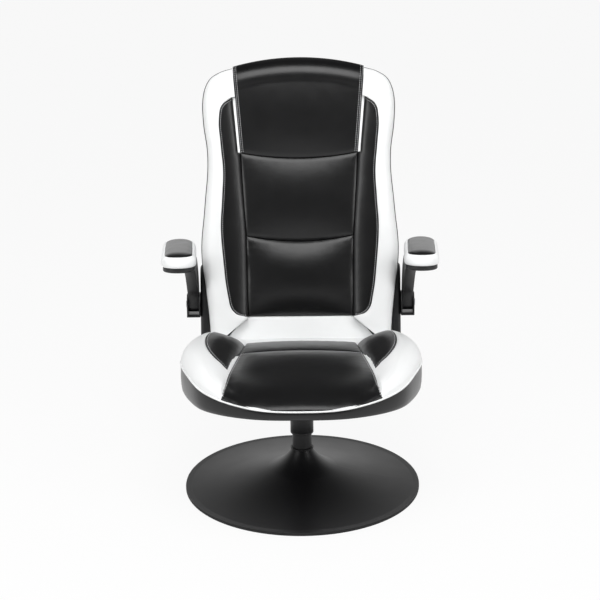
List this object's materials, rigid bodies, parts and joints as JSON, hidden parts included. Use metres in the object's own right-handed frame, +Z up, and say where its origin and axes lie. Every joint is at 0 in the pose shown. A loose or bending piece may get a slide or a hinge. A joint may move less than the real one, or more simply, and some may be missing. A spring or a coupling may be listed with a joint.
{
  "type": "gaming rocker chair",
  "caption": "Padded high-back rocker chair on a round swivelling trumpet base, with flip-up arms and a sprung rocking seat.",
  "frame": {"origin": "on the floor at the swivel axis, in the middle of the base's underside", "axes": "+Z up along the swivel axis, the chair faces -Y, +X is the sitter's left"},
  "size_m": [0.6928, 0.7711, 1.0636],
  "materials": {
    "black_steel": "satin black powder coat",
    "zinc_steel": "zinc-plated steel",
    "spring_steel": "oiled spring steel",
    "black_leatherette": "smooth black coated fabric over foam",
    "white_leatherette": "smooth white coated fabric over foam",
    "black_nylon": "fine-textured black moulded nylon",
    "bearing_plastic": "natural acetal",
    "black_rubber": "black rubber",
    "plywood": "bare birch plywood",
    "dust_cloth": "black non-woven cloth"
  },
  "bodies": {
    "base": {"base_bolts": "zinc_steel", "base_dish": "black_steel", "base_plate": "black_steel", "base_post": "black_steel", "base_rim_trim": "black_rubber", "post_collar": "black_nylon", "post_flange": "black_steel", "thrust_bearing": "zinc_steel"},
    "column": {"cradle": "black_steel", "pivot_clips": "zinc_steel", "pivot_pin": "zinc_steel", "rock_springs": "spring_steel", "rock_stops": "black_rubber", "sleeve_collar": "black_nylon", "swivel_bolt": "zinc_steel", "swivel_bush_lower": "bearing_plastic", "swivel_bush_upper": "bearing_plastic", "swivel_nut": "zinc_steel", "swivel_sleeve": "black_steel"},
    "seat": {"arm_hinge_bracket_left": "black_nylon", "arm_hinge_bracket_right": "black_nylon", "arm_hinge_pin_left": "zinc_steel", "arm_hinge_pin_right": "zinc_steel", "back_bolster_left": "white_leatherette", "back_bolster_right": "white_leatherette", "back_frame": "plywood", "back_insert_left": "black_leatherette", "back_insert_right": "black_leatherette", "back_lower_panel": "white_leatherette", "back_shell": "black_leatherette", "bracket_back_bolts": "zinc_steel", "bracket_cover_left": "black_nylon", "bracket_cover_right": "black_nylon", "headrest_pad": "black_leatherette", "headrest_stripes": "white_leatherette", "lumbar_pad": "black_leatherette", "mid_back_pad": "black_leatherette", "pivot_bushes": "bearing_plastic", "rocker_plate": "black_steel", "seat_board": "plywood", "seat_bolster": "white_leatherette", "seat_bolts": "zinc_steel", "seat_dust_cover": "dust_cloth", "seat_insert_left": "black_leatherette", "seat_insert_right": "black_leatherette", "seat_pad_front": "black_leatherette", "seat_pad_rear": "black_leatherette", "seat_skirt": "black_leatherette", "side_bracket_left": "black_steel", "side_bracket_right": "black_steel"},
    "left_arm": {"arm_pad_band_left": "white_leatherette", "arm_pad_top_left": "black_leatherette", "arm_post_left": "black_nylon", "arm_screws_left": "zinc_steel", "arm_tray_left": "black_nylon"},
    "right_arm": {"arm_pad_band_right": "white_leatherette", "arm_pad_top_right": "black_leatherette", "arm_post_right": "black_nylon", "arm_screws_right": "zinc_steel", "arm_tray_right": "black_nylon"}
  },
  "joints": [
    {"name": "swivel", "type": "hinge", "parent": "base", "child": "column", "pos_m": [0, 0, 0.2], "axis": [0, 0, 1], "continuous": true},
    {"name": "rock", "type": "hinge", "parent": "column", "child": "seat", "pos_m": [0, 0, 0.255], "axis": [-1, 0, 0], "range_deg": [-6, 12], "stiffness_Nm_per_rad": 220, "springref_deg": -1.72, "deforming": ["rock_springs"]},
    {"name": "left_arm_flip", "type": "hinge", "parent": "seat", "child": "left_arm", "pos_m": [0.2843, 0.20502, 0.43103], "axis": [-1, 0, 0], "range_deg": [0, 97]},
    {"name": "right_arm_flip", "type": "hinge", "parent": "seat", "child": "right_arm", "pos_m": [-0.2843, 0.20502, 0.43103], "axis": [-1, 0, 0], "range_deg": [0, 97]}
  ]
}
